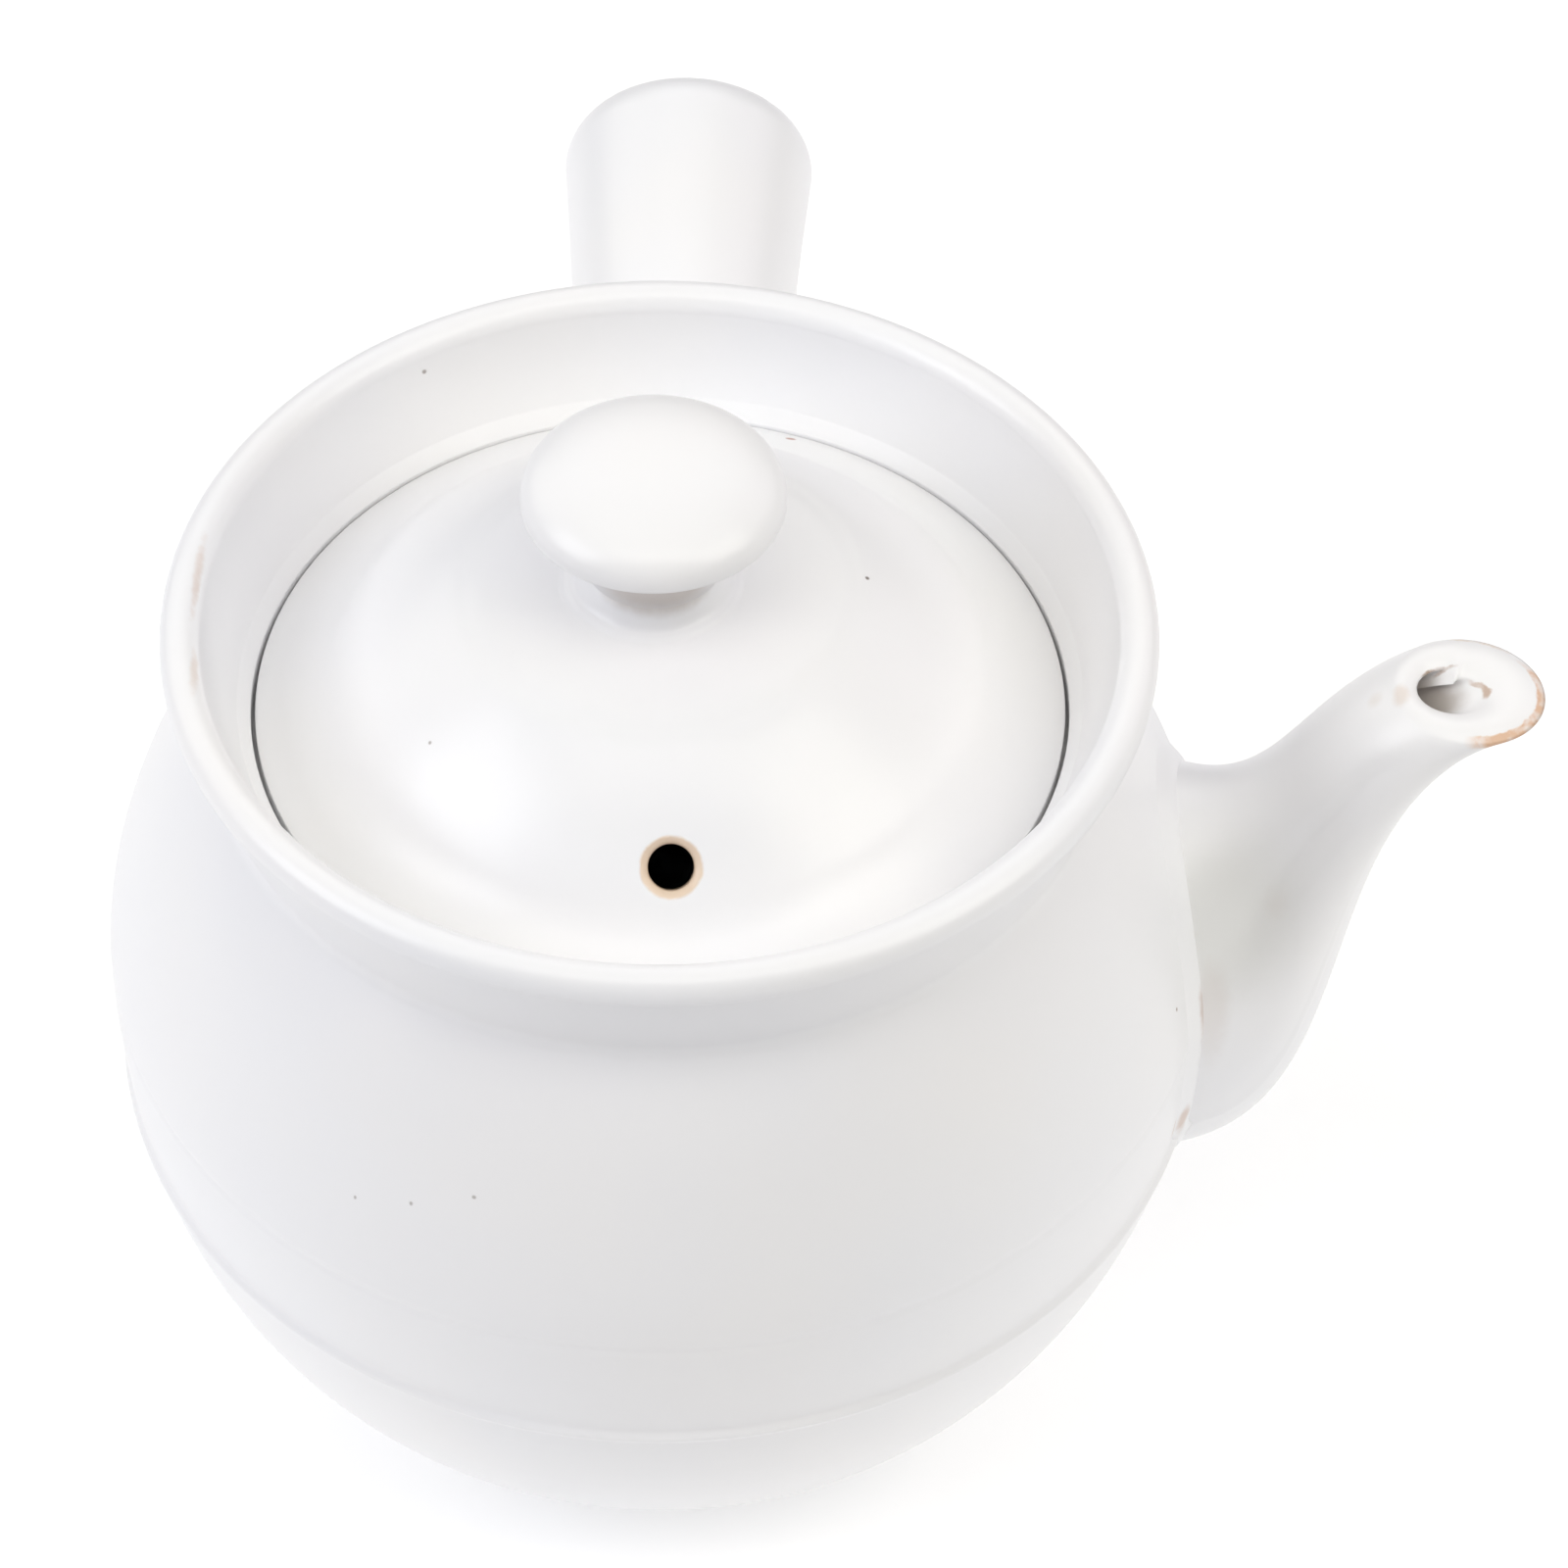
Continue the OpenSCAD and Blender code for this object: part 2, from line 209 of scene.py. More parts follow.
# the outside's points lie close together where the two lines are turned
skin_heights = (spread(foot_bevel_h, ridge_z - 4, 60) + spread(ridge_z - 3.9, ridge_z + 1.9, 58)
                + spread(ridge_z + 2, groove_z - 3, 24) + spread(groove_z - 2.8, groove_z + 2.8, 28)
                + spread(groove_z + 3, neck_z - 1.8, 60))
rim_turns = [math.radians(a) for a in spread(*rim_roll, 30)]
inside_heights = [under_seat_z + (floor_z - under_seat_z) * math.sin(math.radians(a))
                  for a in spread(0, 90, 60)]
pot = turned("pot_body", rounded(
    [(0, foot_hollow), (foot_r - foot_ring_w, foot_hollow, edge_round),
     (foot_r - foot_ring_w + foot_hollow, 0, fine_round), (foot_r - foot_bevel_w, 0)]
    + [(skin_r(z), z) for z in skin_heights]
    + [(body_r(neck_z), neck_z, neck_hollow_r), (collar_r, rim_mid_z - rim_bead_r, collar_round)]
    + [(rim_r + rim_bead_r * math.cos(a), rim_mid_z + rim_bead_r * math.sin(a)) for a in rim_turns]
    + [(gallery_r + step_w, seat_z + step_h, edge_round),
       (gallery_r, seat_z + step_h - step_fall, fine_round), (gallery_r, seat_z, edge_round),
       (throat_r, seat_z, throat_round), (throat_r, seat_z - throat_t, throat_round)]
    + [(body_r(z, wall_t), z) for z in inside_heights]
    + [(0, floor_z)]))

# one punch for the whole strainer: rows of two and three holes, set in triangles
row_closeness = math.sin(math.radians(60))
punch_from = belly_r * 0.7
punch_to = belly_r + 2
hole_points = []
hole_faces = []
for row in range(-2, 3):
    count = 2 + abs(row) % 2
    for place in range(count):
        across = (place - (count - 1) / 2) * strainer_pitch
        up = spout_base_z + row * strainer_pitch * row_closeness
        start = len(hole_points)
        ring = [(across + strainer_hole_d / 2 * math.cos(math.tau * j / hole_sides),
                 up + strainer_hole_d / 2 * math.sin(math.tau * j / hole_sides))
                for j in range(hole_sides)]
        hole_points += [(punch_from, y, z) for y, z in ring] + [(punch_to, y, z) for y, z in ring]
        for j in range(hole_sides):
            here, after = start + j, start + (j + 1) % hole_sides
            hole_faces.append((here, after, after + hole_sides, here + hole_sides))
        hole_faces.append(tuple(start + hole_sides - 1 - j for j in range(hole_sides)))
        hole_faces.append(tuple(start + hole_sides + j for j in range(hole_sides)))
cut(pot, piece_from("strainer_punch", hole_points, hole_faces))


def linear(code):
    """Linear colour of an sRGB hex value."""
    parts = [int(code[i:i + 2], 16) / 255 for i in (1, 3, 5)]
    return tuple(p / 12.92 if p <= 0.04045 else ((p + 0.055) / 1.055) ** 2.4 for p in parts) + (1,)


def add_node(tree, kind, inputs=(), **settings):
    """One node, with its settings and with a value or a link on each named input."""
    new = tree.nodes.new(kind)
    for key, value in settings.items():
        setattr(new, key, value)
    for key, value in dict(inputs).items():
        if isinstance(value, bpy.types.NodeSocket):
            tree.links.new(value, new.inputs[key])
        else:
            new.inputs[key].default_value = value
    return new


# what the glaze's patterns measure in millimetres, and how rough it is where it lies thick,
# where it runs thin and where the clay is bare
cloud_size = 55.0
speck_spacing = 19.0
speck_rarity = 0.9
mottle_size = 5.0
ragged_size = 1.6
streak_size = 2.4
wander_size = 30.0
wander_height = 3.0
throwing_size = 3.2
throwing_height = 0.12
peel_size = 2.2
peel_height = 0.05
thick_rough = (0.285, 0.315)
thin_rougher = 0.12
bare_rougher = 0.5
thick_white = "#F1F1F3"
warm_white = "#F3F2F2"
iron_speck = "#8B8078"
bare_clay = "#CDB79A"
# the browns of the ring round a hole, and a near black painted shade inside it
hole_browns_and_shade = ("#E4CFB9", "#C7AE95", "#3A2A21")


def satin_glaze(name, marks_and_shade=(), edges=(), holes=(), glazed_from=0.0):
    """Satin white glaze over buff stoneware.

    Fired to a soft sheen, it shows broad highlights and no sharp mirror image. It lies thick
    and white on the faces. Where it runs thin on an edge, the clay's iron breaks through it in
    orange and brown, and a few iron specks melt through. A foot is wiped clean of glaze.
    All places are in millimetres. Each mark is (centre, radii, colour, amount) of a thin place or of a patch
    of painted shade.
    Each edge is (centre, x and y radii, half width, reach centre, reach radii, colour, amount)
    of a line along an oval edge, seen from above, where it lies within its reach. Each hole is
    (centre, axis, its radius, the radius of the brown ring round it); within its radius it is
    painted near black, a painted shade of its depth. Above 0, glazed_from is the height at which
    the glaze ends over bare clay.
    """
    material = bpy.data.materials.new(name)
    material.use_nodes = True
    tree = material.node_tree
    tree.nodes.clear()
    place = add_node(tree, "ShaderNodeTexCoord").outputs["Object"]
    mm = add_node(tree, "ShaderNodeVectorMath", {0: place, "Scale": 1 / MM}, operation="SCALE").outputs[0]

    # thick glaze is a cool white and turns a shade warmer in wide soft clouds
    cloud = add_node(tree, "ShaderNodeTexNoise",
                     {"Vector": mm, "Scale": 1 / cloud_size, "Detail": 2.0}).outputs[0]
    cloud = add_node(tree, "ShaderNodeMapRange",
                     {"Value": cloud, "From Min": 0.35, "From Max": 0.65}).outputs[0]
    colour = add_node(tree, "ShaderNodeMix",
                      {"Factor": cloud, "A": linear(thick_white), "B": linear(warm_white)},
                      data_type="RGBA").outputs["Result"]

    # fine iron specks, sparse
    cells = add_node(tree, "ShaderNodeTexVoronoi",
                     {"Vector": mm, "Scale": 1 / speck_spacing, "Randomness": 1.0})
    chosen = add_node(tree, "ShaderNodeSeparateColor", {"Color": cells.outputs["Color"]}).outputs[0]
    rare = add_node(tree, "ShaderNodeMath", {0: chosen, 1: speck_rarity},
                    operation="GREATER_THAN").outputs[0]
    dot = add_node(tree, "ShaderNodeMapRange",
                   {"Value": cells.outputs["Distance"], "From Min": 0.010, "From Max": 0.004}).outputs[0]
    speck = add_node(tree, "ShaderNodeMath", {0: rare, 1: dot}, operation="MULTIPLY").outputs[0]
    colour = add_node(tree, "ShaderNodeMix", {"Factor": speck, "A": colour, "B": linear(iron_speck)},
                      data_type="RGBA").outputs["Result"]

    # an even sheen, which changes so little that no patch of it shows
    mottle = add_node(tree, "ShaderNodeTexNoise",
                      {"Vector": mm, "Scale": 1 / mottle_size, "Detail": 4.0}).outputs[0]
    rough = add_node(tree, "ShaderNodeMapRange",
                     {"Value": mottle, "To Min": thick_rough[0], "To Max": thick_rough[1]}).outputs[0]

    # thin places, with ragged edges where the glaze drew back, and soft patches of painted shade made the
    # same way
    ragged = add_node(tree, "ShaderNodeTexNoise",
                      {"Vector": mm, "Scale": 1 / ragged_size, "Detail": 4.0}).outputs[0]
    for centre, radii, shade, amount in marks_and_shade:
        away = add_node(tree, "ShaderNodeVectorMath", {0: mm, 1: centre}, operation="SUBTRACT").outputs[0]
        away = add_node(tree, "ShaderNodeVectorMath", {0: away, 1: radii}, operation="DIVIDE").outputs[0]
        away = add_node(tree, "ShaderNodeVectorMath", {0: away}, operation="LENGTH").outputs["Value"]
        raggedness = min(0.9, 0.8 / min(radii))
        away = add_node(tree, "ShaderNodeMath", {0: ragged, 1: raggedness, 2: away},
                        operation="MULTIPLY_ADD").outputs[0]
        inside = add_node(tree, "ShaderNodeMapRange",
                          {"Value": away, "From Min": 1.0 + raggedness / 2,
                           "From Max": 0.3 + raggedness / 2, "To Max": amount},
                          interpolation_type="SMOOTHSTEP").outputs[0]
        colour = add_node(tree, "ShaderNodeMix", {"Factor": inside, "A": colour, "B": linear(shade)},
                          data_type="RGBA").outputs["Result"]
        rough = add_node(tree, "ShaderNodeMath", {0: inside, 1: thin_rougher, 2: rough},
                         operation="MULTIPLY_ADD", use_clamp=True).outputs[0]

    # edges that the glaze drew back from, in streaks
    streaks = add_node(tree, "ShaderNodeTexNoise",
                       {"Vector": mm, "Scale": 1 / streak_size, "Detail": 3.0}).outputs[0]
    streaks = add_node(tree, "ShaderNodeMapRange",
                       {"Value": streaks, "From Min": 0.36, "From Max": 0.56, "To Min": 0.35}).outputs[0]
    for centre, radii, half_w, reach_centre, reach, shade, amount in edges:
        away = add_node(tree, "ShaderNodeVectorMath", {0: mm, 1: centre}, operation="SUBTRACT").outputs[0]
        away = add_node(tree, "ShaderNodeVectorMath", {0: away, 1: (1 / radii[0], 1 / radii[1], 0)},
                        operation="MULTIPLY").outputs[0]
        away = add_node(tree, "ShaderNodeVectorMath", {0: away}, operation="LENGTH").outputs["Value"]
        off = add_node(tree, "ShaderNodeMath", {0: away, 1: 1.0}, operation="SUBTRACT").outputs[0]
        off = add_node(tree, "ShaderNodeMath", {0: off}, operation="ABSOLUTE").outputs[0]
        off = add_node(tree, "ShaderNodeMath", {0: off, 1: sum(radii) / 2, 2: ragged},
                       operation="MULTIPLY_ADD").outputs[0]
        line = add_node(tree, "ShaderNodeMapRange",
                        {"Value": off, "From Min": half_w + 0.7, "From Max": half_w + 0.3},
                        interpolation_type="SMOOTHSTEP").outputs[0]
        near = add_node(tree, "ShaderNodeVectorMath", {0: mm, 1: reach_centre},
                        operation="SUBTRACT").outputs[0]
        near = add_node(tree, "ShaderNodeVectorMath", {0: near, 1: reach}, operation="DIVIDE").outputs[0]
        near = add_node(tree, "ShaderNodeVectorMath", {0: near}, operation="LENGTH").outputs["Value"]
        near = add_node(tree, "ShaderNodeMapRange",
                        {"Value": near, "From Min": 1.15, "From Max": 0.85, "To Max": amount},
                        interpolation_type="SMOOTHSTEP").outputs[0]
        line = add_node(tree, "ShaderNodeMath", {0: line, 1: near}, operation="MULTIPLY").outputs[0]
        line = add_node(tree, "ShaderNodeMath", {0: line, 1: streaks}, operation="MULTIPLY").outputs[0]
        colour = add_node(tree, "ShaderNodeMix", {"Factor": line, "A": colour, "B": linear(shade)},
                          data_type="RGBA").outputs["Result"]
        rough = add_node(tree, "ShaderNodeMath", {0: line, 1: thin_rougher, 2: rough},
                         operation="MULTIPLY_ADD", use_clamp=True).outputs[0]

    # round a pierced hole the glaze breaks to brown, and inside the hole its wall is painted near black, a
    # painted shade of its depth
    for centre, axis, hole_r, ring_r in holes:
        away = add_node(tree, "ShaderNodeVectorMath", {0: mm, 1: centre}, operation="SUBTRACT").outputs[0]
        away = add_node(tree, "ShaderNodeVectorMath", {0: away, 1: axis},
                        operation="CROSS_PRODUCT").outputs[0]
        away = add_node(tree, "ShaderNodeVectorMath", {0: away}, operation="LENGTH").outputs["Value"]
        away = add_node(tree, "ShaderNodeMath", {0: ragged, 1: 0.5, 2: away},
                        operation="MULTIPLY_ADD").outputs[0]
        for reach, shade in zip((ring_r, hole_r + 0.5, hole_r), hole_browns_and_shade):
            inside = add_node(tree, "ShaderNodeMapRange",
                              {"Value": away, "From Min": reach + 0.45, "From Max": reach}).outputs[0]
            colour = add_node(tree, "ShaderNodeMix", {"Factor": inside, "A": colour, "B": linear(shade)},
                              data_type="RGBA").outputs["Result"]

    parts = add_node(tree, "ShaderNodeSeparateXYZ", {"Vector": mm})
    if glazed_from > 0:
        # bare buff clay below the line where the foot was wiped
        level = add_node(tree, "ShaderNodeMath", {0: ragged, 1: 1.2, 2: parts.outputs["Z"]},
                         operation="MULTIPLY_ADD").outputs[0]
        bare = add_node(tree, "ShaderNodeMapRange",
                        {"Value": level, "From Min": glazed_from + 0.3,
                         "From Max": glazed_from}).outputs[0]
        colour = add_node(tree, "ShaderNodeMix", {"Factor": bare, "A": colour, "B": linear(bare_clay)},
                          data_type="RGBA").outputs["Result"]
        rough = add_node(tree, "ShaderNodeMath", {0: bare, 1: bare_rougher, 2: rough},
                         operation="MULTIPLY_ADD", use_clamp=True).outputs[0]

    # throwing lines that wander round the piece, and the skin of the glaze, which is drawn
    # coarser than the real one so that it shows
    wander = add_node(tree, "ShaderNodeTexNoise",
                      {"Vector": mm, "Scale": 1 / wander_size, "Detail": 2.0}).outputs[0]
    level = add_node(tree, "ShaderNodeMath", {0: wander, 1: wander_height, 2: parts.outputs["Z"]},
                     operation="MULTIPLY_ADD").outputs[0]
    throwing = add_node(tree, "ShaderNodeTexNoise",
                        {"W": level, "Scale": 1 / throwing_size, "Detail": 2.0},
                        noise_dimensions="1D").outputs[0]
    peel = add_node(tree, "ShaderNodeTexNoise",
                    {"Vector": mm, "Scale": 1 / peel_size, "Detail": 2.0}).outputs[0]
    normal = add_node(tree, "ShaderNodeBump",
                      {"Height": throwing, "Strength": 0.25, "Distance": throwing_height * MM}).outputs[0]
    normal = add_node(tree, "ShaderNodeBump",
                      {"Height": peel, "Strength": 0.12, "Distance": peel_height * MM,
                       "Normal": normal}).outputs[0]
    shader = add_node(tree, "ShaderNodeBsdfPrincipled",
                      {"Base Color": colour, "Roughness": rough, "IOR": 1.5, "Normal": normal})
    out = add_node(tree, "ShaderNodeOutputMaterial", {"Surface": shader.outputs[0]})
    out.is_active_output = True
    return material


pot.data.materials.clear()
# a tan break on the rim's left, a speck inside its back, three on the front of the shoulder,
# and a brown speck and a stain beside the spout
pot_marks = [
    ((-69.9, 4, 153.7), (1.2, 11, 1.4), "#CFAF96", 0.4),
    ((-68.6, -13, 153.5), (1.2, 9, 1.4), "#D9C2AF", 0.4),
    ((-39.4, 56.3, 148.8), (0.5, 0.5, 0.5), "#7B6C62", 0.7),
    ((-42.8, -72.6, 101.5), (0.35, 0.35, 0.5), iron_speck, 0.6),
    ((-34.2, -75.9, 104.6), (0.45, 0.4, 0.55), iron_speck, 0.6),
    ((-24.7, -77.8, 108.8), (0.45, 0.4, 0.4), iron_speck, 0.6),
    ((80.6, -28.5, 97.4), (0.45, 0.45, 0.6), "#8A6A55", 0.9),
    ((82.6, -27.2, 67.4), (2.2, 2.4, 3.5), "#B98A62", 0.4)]
pot.data.materials.append(satin_glaze("satin_glaze_on_pot", pot_marks, glazed_from=2.2))
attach(pot, "pot")
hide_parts("pot_body")

# ---- The spout ----
# Thrown or cast as a hollow horn, cut to fit the belly and luted on over the strainer holes.
# Its lip is thick and rounded, with a small mouth that leans towards the pot.

spout_base_h = 75.0
spout_base_w = 50.0
spout_reach = 122.8
spout_lip_z = 140.0
spout_lip_l = 24.0
spout_lip_w = 22.5
spout_lip_tilt = 2.0
spout_t = 4.5
under_leaves = Vector((40, 4))
under_arrives = Vector((-39, -15))
over_leaves = Vector((16, -3))
over_arrives = Vector((-14, -10))
side_narrowing = 1.7
root_easing = 3
lip_outer_t = 8.8
lip_inner_t = 4.4
lip_thickening = 4
lip_crest = 1.2
lip_fullness = 0.8
ring_points = 144
wall_steps = 48
lip_steps = 16
valley_depth = 2.1
valley_width = math.radians(12)
valley_place = 149
valley_dip = 8
valley_dip_end = 0.7
valley_climb = 22
valley_climb_start = 0.45
lobe_rise = 1.1
lobe_width = math.radians(24)
lobe_below = math.radians(42)
cheek_end = 0.9
cheek_fade = 0.7
fold_drop = 2.0
fold_spike = 1.1
fold_turn = math.radians(353)
fold_steep_side = 8
fold_slow_side = 52
fold_start = 0.85
fold_length = 0.15
fold_fade = 0.8

lip_along = Vector((math.cos(math.radians(spout_lip_tilt)), -math.sin(math.radians(spout_lip_tilt))))
lip_up = Vector((math.sin(math.radians(spout_lip_tilt)), 0, math.cos(math.radians(spout_lip_tilt))))
lip_middle = Vector((spout_reach, spout_lip_z))
spout_low_z = spout_base_z - spout_base_h / 2
spout_high_z = spout_base_z + spout_base_h / 2
under_start = Vector((skin_r(spout_low_z), spout_low_z))
over_start = Vector((skin_r(spout_high_z), spout_high_z))
under_end = lip_middle + lip_along * spout_lip_l / 2
over_end = lip_middle - lip_along * spout_lip_l / 2
under_line = [under_start, under_start + under_leaves, under_end + under_arrives, under_end]
over_line = [over_start, over_start + over_leaves, over_end + over_arrives, over_end]


def bezier(p, s):
    """Point at a share s along a curve led by four points."""
    return (1 - s) ** 3 * p[0] + 3 * (1 - s) ** 2 * s * p[1] + 3 * (1 - s) * s * s * p[2] + s ** 3 * p[3]


def ring_turns():
    """Angle of each point of a ring, from the +Y side upwards."""
    return [math.tau * j / ring_points for j in range(ring_points)]


def ring_on_body(half_w, half_h, z):
    """Ring on the pot's outside that is oval when seen from +X."""
    ring = []
    for a in ring_turns():
        across = half_w * math.cos(a)
        up = z + half_h * math.sin(a)
        ring.append(Vector((math.sqrt(skin_r(up) ** 2 - across ** 2), across, up)))
    return ring


def ring_between(low, high, half_w):
    """Flat oval ring that spans two points of the XZ plane."""
    ring = []
    for a in ring_turns():
        middle = (low + high) / 2 + (high - low) / 2 * math.sin(a)
        ring.append(Vector((middle.x, half_w * math.cos(a), middle.y)))
    return ring


def eased_ring(on_body, flat_root, ring, s):
    """Ring that bends from the one on the body to its own plane as s grows."""
    ease = (1 - s) ** root_easing
    return [r + (b - f) * ease for b, f, r in zip(on_body, flat_root, ring)]


def spout_ring(s, under_t=0.0, over_t=0.0, side_t=0.0):
    """Flat ring across the horn at a share of its length, set in by the wall on each side."""
    low = bezier(under_line, s)
    high = bezier(over_line, s)
    inward = (high - low).normalized()
    half_w = spout_lip_w / 2 + (spout_base_w - spout_lip_w) / 2 * (1 - s) ** side_narrowing
    return ring_between(low + inward * under_t, high - inward * over_t, half_w - side_t)


def valley_turn(s):
    """Where on the ring the finger's groove runs: low on the cheek, rising a little to the lip."""
    return math.radians(valley_place - valley_dip * math.sin(math.pi * min(1, s / valley_dip_end))
                        + valley_climb * max(0, s - valley_climb_start))


def outer_ring(s):
    """Outside of the horn, with a soft groove along each cheek and a fuller lobe under it."""
    ring = eased_ring(ring_on_body(spout_base_w / 2, spout_base_h / 2, spout_base_z),
                      spout_ring(0), spout_ring(s), s)
    middle = sum(ring, Vector()) / len(ring)
    fade = math.sin(math.pi * (s / cheek_end)) ** cheek_fade if s < cheek_end else 0
    for j, a in enumerate(ring_turns()):
        cheek = a if math.pi / 2 < a < 1.5 * math.pi else (math.pi - a) % math.tau
        groove = math.exp(-((cheek - valley_turn(s)) / valley_width) ** 2)
        lobe = math.exp(-((cheek - valley_turn(s) - lobe_below) / lobe_width) ** 2)
        push = fade * (valley_depth * groove - lobe_rise * lobe)
        ring[j] += (middle - ring[j]).normalized() * push
    return ring


def wall_at(s, at_lip):
    """Thickness of the horn's wall, which grows into the lip."""
    return spout_t + (at_lip - spout_t) * s ** lip_thickening


def inner_ring(s):
    """Inside of the horn."""
    return eased_ring(ring_on_body(spout_base_w / 2 - spout_t, spout_base_h / 2 - spout_t, spout_base_z),
                      spout_ring(0, spout_t, spout_t, spout_t),
                      spout_ring(s, wall_at(s, lip_outer_t), wall_at(s, lip_inner_t),
                                 wall_at(s, (lip_outer_t + lip_inner_t) / 2)), s)


def folded_ring(s):
    """Inside of the horn, with a small fold of clay that hangs into the mouth from the handle's side."""
    ring = inner_ring(s)
    middle = sum(ring, Vector()) / len(ring)
    for j, a in enumerate(ring_turns()):
        away = math.degrees((a - fold_turn + math.pi) % math.tau - math.pi)
        push = fold_drop * math.exp(-(away / (fold_steep_side if away > 0 else fold_slow_side)) ** 2)
        push += fold_spike * math.exp(-(away / fold_steep_side) ** 2)
        fade = max(0, (s - fold_start) / fold_length) ** fold_fade
        ring[j] += (middle - ring[j]).normalized() * push * fade
    return ring


def lip_ring(share):
    """Ring on the lip's rounded top, at a share of the way from the outside to the mouth."""
    lift = lip_crest * math.sin(math.pi * share) ** lip_fullness
    return [a.lerp(b, share) + lip_up * lift for a, b in zip(outer_ring(1), folded_ring(1))]


spout = piece_from("spout", *looped(
    [outer_ring(s) for s in spread(0, 1, wall_steps)]
    + [lip_ring(share) for share in spread(0, 1, lip_steps)[1:-1]]
    + [folded_ring(s) for s in spread(1, 0, wall_steps)]))
# tan on the lip's side towards the pot, painted shade deep in the bore, a soft grey painted shade
# over the upper cheek, a faint brown along the seam where the glaze is thin, and a faint tan patch on the
# cheek
spout_marks_and_shade = [
    ((112.6, -2.2, 141.0), (1.8, 2.8, 2.2), "#D3BBA5", 0.4),
    ((108.4, -1.0, 139.4), (2, 2, 2), "#DCD0C3", 0.3),
    # painted shade deep in the bore, where its wall is overhung
    ((118.0, 1.5, 135.8), (11, 8, 4.3), "#B3A89E", 0.75),
    # painted shade over the upper cheek, which the belly and the spout's neck shade
    ((88, -17, 106), (17, 15, 22), "#DCDCD7", 0.5),
    ((86.8, -22.0, 90), (4, 5, 17), "#CBBBB0", 0.22),
    ((95.5, -14.6, 108.1), (3, 3, 6), "#CBB9AC", 0.12)]
lip_line_inset = 0.3
lip_place = (spout_reach, 0, spout_lip_z)
lip_line_r = (spout_lip_l / 2 - lip_line_inset, spout_lip_w / 2 - lip_line_inset)
bore_place = (spout_reach + (lip_inner_t - lip_outer_t) / 2, 0, spout_lip_z)
bore_r = ((spout_lip_l - lip_outer_t - lip_inner_t) / 2, (spout_lip_w - lip_outer_t - lip_inner_t) / 2)
fold_line_r = (bore_r[0], bore_r[1] - fold_drop)
# orange on the lip's outer edge, in front and fainter at the back, and brown round the mouth
spout_edges = [
    (lip_place, lip_line_r, 1.0, (130.5, -4.5, 140.0), (9.6, 10.4, 1.9), "#DBB08C", 0.9),
    (lip_place, lip_line_r, 0.6, (127, 11, 140.4), (6, 3, 1.6), "#DCC0A4", 0.45),
    (bore_place, bore_r, 0.3, (117.0, 5.0, 140.6), (4.6, 2.4, 2), "#A37F62", 0.8),
    (bore_place, fold_line_r, 0.35, (125.6, 2.0, 140.6), (2.6, 3.2, 2), "#B48C68", 0.7)]
spout.data.materials.append(satin_glaze("satin_glaze_on_spout", spout_marks_and_shade, spout_edges))
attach(spout, "pot")
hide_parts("spout")

# ---- The spout's luting seam ----
# Slip pressed into the joint between belly and spout and smoothed with a tool. It leaves a
# low soft bead that runs out on the belly and ends in a crease at the spout.

seam_w = 2.6
seam_h = 1.9
seam_curve = [Vector(c) for c in ((1.4, -0.16), (0.7, 0.25), (0.5, 1.2), (-0.3, 0.85))]
seam_steps = 14
seam_under_skin = 0.3
seam_under_belly = 0.4
spout_skin_from = 0.06


def seam_bead(name, joint, on_body, up_skin):
    """A bead of slip along a joint.

    Its curve goes from out on the body (shares of seam_w) up the piece's skin (shares of
    seam_h). Both its ends and its back are buried, so that no edge of it shows.
    """
    rings = []
    for share in spread(0, 1, seam_steps):
        out, up = bezier(seam_curve, share)
        rings.append([j + (b - j) * out + (u - j).normalized() * seam_h * up
                      for j, b, u in zip(joint, on_body, up_skin)])
    buried = [j - (b - j) * seam_under_skin - (u - j).normalized() * seam_under_belly
              for j, b, u in zip(joint, on_body, up_skin)]
    return piece_from(name, *looped([buried] + rings))


spout_seam = seam_bead("spout_seam", outer_ring(0),
                       ring_on_body(spout_base_w / 2 + seam_w, spout_base_h / 2 + seam_w, spout_base_z),
                       outer_ring(spout_skin_from))
# the glaze is thin and brownish on the bead's front side
seam_marks = [
    ((84.4, -15.5, 106.0), (1.6, 7, 6), "#B08B75", 0.45),
    ((85.6, -22.6, 92.0), (1.3, 2.6, 11), "#B08B75", 0.5),
    ((83.8, -25.6, 67.4), (1.8, 2.2, 5), "#B98A62", 0.5)]
spout_seam.data.materials.append(satin_glaze("satin_glaze_in_spout_seam", seam_marks))
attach(spout_seam, "pot")
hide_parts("spout_seam")

# ---- The side handle ----
# A hollow thrown tube of the same clay that flares to a rounded open end. It is luted to the
# shoulder with slip, a quarter turn round from the spout, and rises a little.

handle_z = 100.0
handle_rise = math.radians(12)
handle_l = 72.0
handle_root_r = 17.4
handle_end_r = 21.5
handle_flare = 1.5
handle_round = 8.5
handle_aside = Vector((-0.45, 0, 0))
handle_bore_r = 12.5
bore_mouth = 1.5
handle_dir = Vector((math.cos(handle_rise), math.sin(handle_rise)))
handle_up = Vector((-math.sin(handle_rise), math.cos(handle_rise)))
handle_start = Vector((skin_r(handle_z), handle_z))
handle_straight = handle_l - handle_round
quarter_turn = Matrix.Rotation(math.radians(90), 3, "Z")


def handle_r(along):
    """Radius of the grip, which flares outwards until its end rolls over to the bore."""
    if along < handle_straight:
        return handle_root_r + (handle_end_r - handle_root_r) * (along / handle_straight) ** handle_flare
    past = min(along - handle_straight, handle_round)
    return handle_end_r - handle_round + math.sqrt(handle_round ** 2 - past ** 2)


def set_on_side(ring):
    """Turn a ring from the spout's side of the pot to the handle's."""
    return [quarter_turn @ p + handle_aside for p in ring]


def square_ring(along, r):
    """Round ring square to the handle's length."""
    middle = handle_start + handle_dir * along
    return ring_between(middle - handle_up * r, middle + handle_up * r, r)


